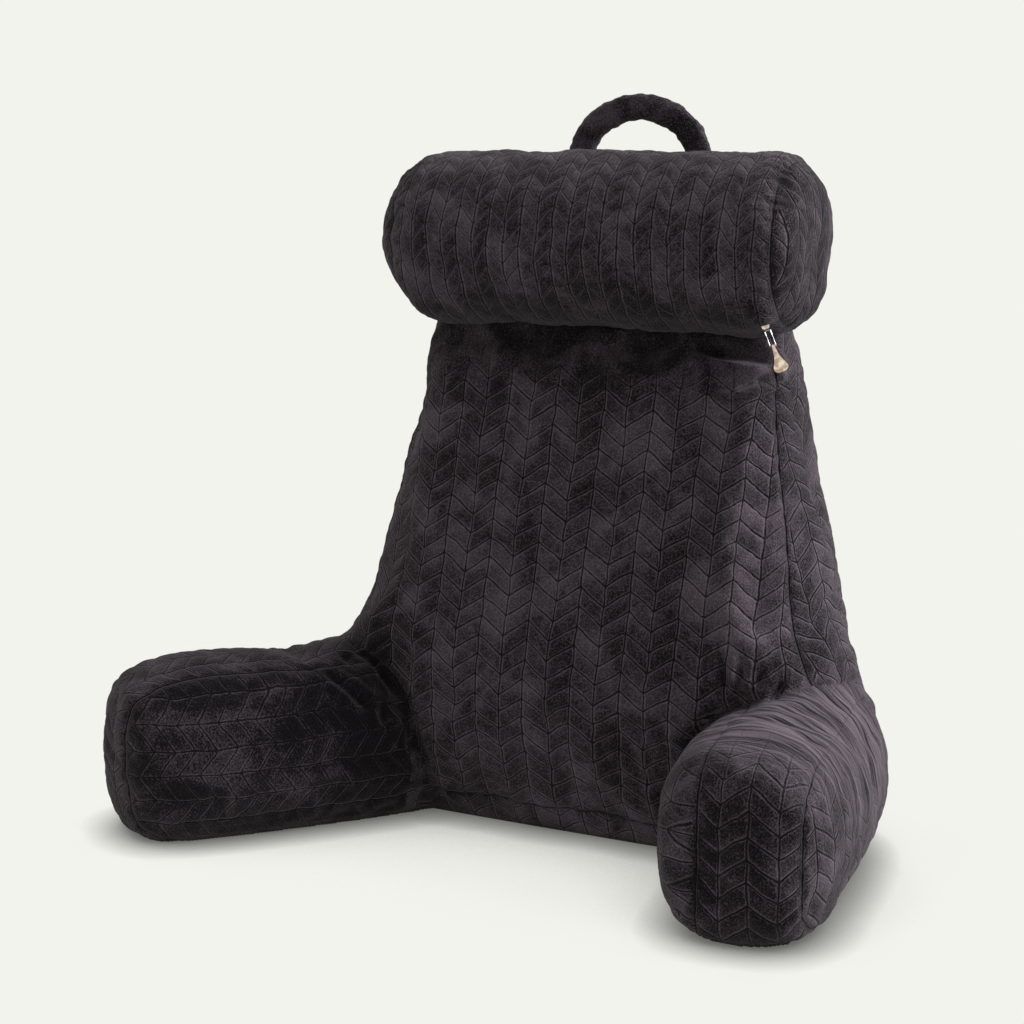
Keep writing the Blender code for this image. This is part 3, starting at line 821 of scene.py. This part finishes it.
# %% The brushed sweep over the right arm, with painted highlight streaks
# each pair is a soft ramp, in metres
SWEPT_ROOT = (-0.01, 0.04)     # along the arm
SWEPT_CREST_END = (0.19, 0.30)
SWEPT_FLANK_END = (0.15, 0.26)
SWEPT_CREST_UP = (0.095, 0.150)        # up from the floor
SWEPT_FLANK_UP = (0.06, 0.11)
SWEPT_START = (0.004, 0.030)   # away from the backrest
FLANK_STRENGTH = 0.75


def brushed(rest, nearest):
    """How far the right arm's pile is brushed flat, over its crest and down both flanks, where streaks are
    painted light as a highlight.
    """
    along, across, _, _ = arm_coordinates(rest, "right")
    crest = 1.0 - smoothstep(*SWEPT_CREST_END, along)
    crest *= smoothstep(*SWEPT_CREST_UP, rest[:, 2] + 0.012 * ripple(rest, 0.04, 13))
    flank = smoothstep(-0.006, 0.012, np.abs(across - ARMS["right"][4]) - STRIP_HALF)
    flank *= 1.0 - smoothstep(*SWEPT_FLANK_END, along)
    flank *= smoothstep(*SWEPT_FLANK_UP, rest[:, 2] + 0.008 * ripple(rest, 0.05, 12))
    share = np.maximum(crest, FLANK_STRENGTH * flank) * smoothstep(*SWEPT_ROOT, along) * (nearest == 2)
    return share * smoothstep(*SWEPT_START, distance_to("backrest", rest))


SWEPT_FADE = 0.95              # how much of the pattern the brushed sweep hides
brushed_with_painted_highlight = brushed(rest, nearest)
pressed *= 1.0 - SWEPT_FADE * brushed_with_painted_highlight
print("brushed flat:", round(100 * float((brushed_with_painted_highlight > 0.5).mean())), "percent of the points")

# %% Press the body's herringbone
PRESS_GROOVE = (0.0009, 0.0030)        # depth and half width, metres
SIDE_FULLNESS = 0.0045         # metres by which the right side panel is fuller than its solid
FLAT_BELOW = 0.003             # metres, what lies on the floor stays flat

height += pressed * (PRESS_GROOVE[0] + groove(press_distance(u, v, **BODY_PRESS), *PRESS_GROOVE))
height += SIDE_FULLNESS * (panel == SIDE_RIGHT) * smoothstep(0.0, 0.04, seam) * smoothstep(0.10, 0.22, up)
push(body, height * smoothstep(0.0005, 0.012, up))
points = points_of(body)
points[:, 2] = np.maximum(points[:, 2], 0.0)
points[up < FLAT_BELOW, 2] = 0.0
place_points(body, points)
print("body reaches", [round(value, 3) for value in points.max(0)])

# %% Painted shade and painted light on the body's pile
# painted shade on the arms' inner panels and the left strip
PANEL_PAINTED_SHADE = {INNER_LEFT: 0.28, STRIP_LEFT: 0.12, INNER_RIGHT: 0.14}
CREASE_PAINTED_SHADE = (0.40, 0.030)    # share of the way to dark, and reach in metres
SEAM_PAINTED_SHADE = (0.12, 0.005)


def painted_shading(rest, panel, nearest, seam, crease, u):
    """How much painted shade the pile gets: in creases, beside seams, on whole panels, on the right arm's tip
    and under the roll; below zero it is painted light, on the front's right part.
    """
    dark = CREASE_PAINTED_SHADE[0] * np.exp(-crease / CREASE_PAINTED_SHADE[1]) + SEAM_PAINTED_SHADE[0] * np.exp(-seam / SEAM_PAINTED_SHADE[1])
    for number, amount in PANEL_PAINTED_SHADE.items():
        dark += amount * (panel == number)
    # painted shade on the right side panel, the right arm's tip and the top of the front under the roll, and
    # painted light on the front's right part
    dark += 0.06 * (panel == SIDE_RIGHT) * (nearest == 0)
    dark += 0.16 * (panel == STRIP_RIGHT) * smoothstep(0.22, 0.28, arm_coordinates(rest, "right")[0])
    dark += (panel == FRONT) * (0.15 * smoothstep(0.40, 0.46, rest[:, 2]) - 0.12 * smoothstep(0.10, 0.18, u))
    return dark


dark = painted_shading(rest, panel, nearest, seam, crease, u)
print("darkest place", round(float(dark.max()), 2), "and lightest", round(float(dark.min()), 2))

# %% Lay the body's cloth out flat and finish it
face_panel = survey(face_middles(body, rest), face_middles(body, normals))[0]
lay_out(body, range(9), face_panel, flat_on, rest)
# the sign changes at a seam, so the distance passes through zero on it, between two points too
flips = np.isin(panel, (SIDE_LEFT, SIDE_RIGHT, INNER_LEFT, INNER_RIGHT))
flips |= (panel == FRONT) & (up < LOW_SEAM_Z)
keep_share(body, "pressed", pressed)
keep_share(body, "seam", np.where(flips, -1.0, 1.0) * np.minimum(seam, crease))
keep_share(body, "painted_light_and_shade", -dark)
keep_share(body, "brushed_with_painted_highlight", brushed_with_painted_highlight)
body.data.attributes.remove(body.data.attributes["rest"])
body.data.shade_smooth()
body.data.materials.append(body_plush)
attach(body, "root")
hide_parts("backrest", "arm_left", "arm_right")
print("laid out", len(body.data.loops), "corners of cloth")

# %% [markdown]
# ## The neck roll
# The roll is a tube of cloth with a round panel sewn into each end. It is wrapped, its two seams are
# rounded, and it is stuffed while it is held where it lies on the backrest. Its pressed columns run round
# it, and they are narrower than the body's. Beside the zip the cloth bunches up in a lump.

# %% Neck roll
ROLL_LOW, ROLL_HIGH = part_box("neck_roll")
ROLL_MIDDLE = np.array([(ROLL_LOW[i] + ROLL_HIGH[i]) / 2 for i in range(3)])
ROLL_HALF = (ROLL_HIGH[0] - ROLL_LOW[0]) / 2
ROLL_RADIUS = (ROLL_HIGH[2] - ROLL_LOW[2]) / 2
TUBE, END = 0, 1
# place, radius, height, in metres: cloth bunched up beside the zip and where the roll sinks in
ROLL_LUMPS = (
    ((0.253, -0.018, 0.511), 0.015, 0.0180),
    ((0.222, -0.004, 0.504), 0.016, 0.0050),
    ((0.204, -0.022, 0.512), 0.014, -0.0035),
    ((0.262, -0.036, 0.530), 0.012, -0.0030),
    ((-0.100, -0.010, 0.507), 0.018, 0.0045),
    ((-0.064, -0.016, 0.509), 0.014, -0.0030),
)


def flat_on_roll(number, points):
    """Flat coordinates on the tube or on an end panel."""
    x, y, z = (points - ROLL_MIDDLE).T
    if number == END:
        return y, z
    return x, ROLL_RADIUS * np.arctan2(-y, -z)


def past_edge(points):
    """How far each point lies past the roll's end seams, along the roll."""
    return np.abs(points[:, 0] - ROLL_MIDDLE[0]) - ROLL_HALF


ROLL_VOXEL = 0.0042
ALONG_X = np.array([1.0, 0.0, 0.0])
roll = wrap("neck_roll_cover", ("neck_roll", "neck_roll_end_left", "neck_roll_end_right"), ROLL_VOXEL, GROWTH)
rest = points_of(roll)
edge = over_surface(past_edge(rest), normals_of(roll), ALONG_X)
smooth(roll, "round seams", 60, 1.0 - smoothstep(0.006, 0.040, edge))
apply_modifiers(roll)
push(roll, -GROWTH)
keep_rest(roll, rest)
stuff(roll, distance_to("backrest", rest) < 0.006, cap=0.003)
rest = refine(roll)

# %% Relief and painted shade of the roll
ROLL_SEAM_GROOVE = (0.0007, 0.0030)    # depth and half width, metres
ROLL_PRESS_GROOVE = (0.0006, 0.0024)
ROLL_SEAM_GATHER = 0.0007              # metres
ROLL_PAINTED_UNDERSIDE_SHADE = (0.500, 0.560)             # metres up, painted shade on the roll's underside
ROLL_PAINTED_CROWN_SHADE = (0.610, 0.655)            # metres up, painted shade on its top, a little darker than its front
THREAD_SCALE = 1.4                     # makes the roll's thread look finer than the body's

edge = over_surface(past_edge(rest), normals_of(roll), ALONG_X)
at_end = past_edge(rest) > 0
turn = np.arctan2(rest[:, 1] - ROLL_MIDDLE[1], rest[:, 2] - ROLL_MIDDLE[2])
u, v = np.where(at_end, flat_on_roll(END, rest), flat_on_roll(TUBE, rest))
pressed = smoothstep(0.002, 0.006, edge)
height = groove(edge, *ROLL_SEAM_GROOVE)
height += ROLL_SEAM_GATHER * gathers(turn * ROLL_RADIUS, edge, 6, 0.013, 0.014)
height += 0.0014 * ripple(rest, 0.08, 7) + 0.0005 * ripple(rest, 0.025, 8)
height += pressed * (ROLL_PRESS_GROOVE[0] + groove(press_distance(u, v, **ROLL_PRESS), *ROLL_PRESS_GROOVE))
for place, radius, rise in ROLL_LUMPS:
    height += rise * np.exp(-(np.linalg.norm(rest - np.array(place), axis=1) / radius) ** 2)
push(roll, height)
face_panel = np.where(face_middles(roll, past_edge(rest)) > 0, END, TUBE)
lay_out(roll, (TUBE, END), face_panel, flat_on_roll, rest)
keep_share(roll, "pressed", pressed)
keep_share(roll, "seam", THREAD_SCALE * np.where(at_end, -edge, edge))
painted_underside_shade = 1.0 - smoothstep(*ROLL_PAINTED_UNDERSIDE_SHADE, rest[:, 2])
painted_crown_shade = smoothstep(*ROLL_PAINTED_CROWN_SHADE, rest[:, 2])
# painted shade beside the end seams, on the end panels, on the underside and on the top
keep_share(roll, "painted_light_and_shade", -0.10 * np.exp(-edge / 0.005) - 0.22 * at_end - 0.38 * painted_underside_shade - 0.14 * painted_crown_shade)
roll.data.attributes.remove(roll.data.attributes["rest"])
roll.data.shade_smooth()
roll.data.materials.append(roll_plush)
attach(roll, "root")
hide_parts("neck_roll", "neck_roll_end_left", "neck_roll_end_right")
print("roll has", len(roll.data.polygons), "squares")

# %% [markdown]
# ## The carry strap
# The strap is a narrow padded tube of the same plush. It is too thin to be stuffed by simulation, so its
# solid is wrapped in small squares, eased, and gets its creases directly.

# %% Carry strap
STRAP_VOXEL = 0.0022
strap = wrap("carry_strap", ("carry_handle",), STRAP_VOXEL, 0.0)
smooth(strap, "ease", 4)
apply_modifiers(strap)
push(strap, 0.0006 * ripple(points_of(strap), 0.018, 9) + 0.0004 * ripple(points_of(strap), 0.008, 10))
keep_share(strap, "painted_light_and_shade", np.zeros(len(strap.data.vertices)))
strap.data.shade_smooth()
strap.data.materials.append(strap_plush)
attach(strap, "root")
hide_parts("carry_handle")
print("strap has", len(strap.data.polygons), "squares")

# %% [markdown]
# ## The zip's metal
# The slider and the leaf-shaped pull are zinc castings with a champagne plating, satin from tumbling. The
# wire link is nickel plated. Their solids have the right shape, so they only get better finishes.


# %% Plated metals
TUMBLE_GRAIN = 0.0012          # metres, the fine grain that tumbling leaves
WEAR_SIZE = 0.005              # metres, size of a duller patch of plating


def plated(name, colour, shade, roughness, mottle):
    """A plated metal that mirrors softly, with a fine grain and duller patches where it is handled."""
    material = bpy.data.materials.new(name)
    material.use_nodes = True
    tree = material.node_tree
    shader = tree.nodes["Principled BSDF"]
    shader.inputs["Metallic"].default_value = 1.0
    place = add_node(tree, "ShaderNodeTexCoord").outputs["Object"]
    grain = add_node(tree, "ShaderNodeTexNoise", {"Vector": place, "Scale": 1 / TUMBLE_GRAIN, "Detail": 3.0})
    gloss = add_node(tree, "ShaderNodeMapRange", {"Value": grain, "To Min": roughness,
                                                  "To Max": roughness + mottle})
    tree.links.new(gloss.outputs["Result"], shader.inputs["Roughness"])
    worn = add_node(tree, "ShaderNodeTexNoise", {"Vector": place, "Scale": 1 / WEAR_SIZE, "Detail": 1.0})
    worn = add_node(tree, "ShaderNodeMapRange", {"Value": worn, "From Min": 0.40, "From Max": 0.62})
    tint = add_node(tree, "ShaderNodeMix", {"Factor": worn, "A": linear(shade), "B": linear(colour)},
                    data_type="RGBA")
    tree.links.new(tint.outputs["Result"], shader.inputs["Base Color"])
    relief = add_node(tree, "ShaderNodeBump", {"Height": grain, "Strength": 1.0, "Distance": 0.00004})
    tree.links.new(relief.outputs[0], shader.inputs["Normal"])
    return material


champagne = plated("satin_champagne_plated_zinc", "#F2E2D2", "#B8A08C", 0.22, 0.16)
nickel = plated("bright_nickel_plated_wire", "#98989A", "#4A4A4E", 0.20, 0.12)
for name, finish in (("zip_slider", champagne), ("zip_pull", champagne), ("zip_link", nickel)):
    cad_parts[name].material_slots[0].material = finish
print("finished the zip's metal")

# %% [markdown]
# ## Count the triangles
# Fabric may stand a little proud of its solids. The cloth skins are counted in triangles.

# %% Triangles
print("triangles:", sum(2 * len(piece.data.polygons) for piece in (body, roll, strap)))
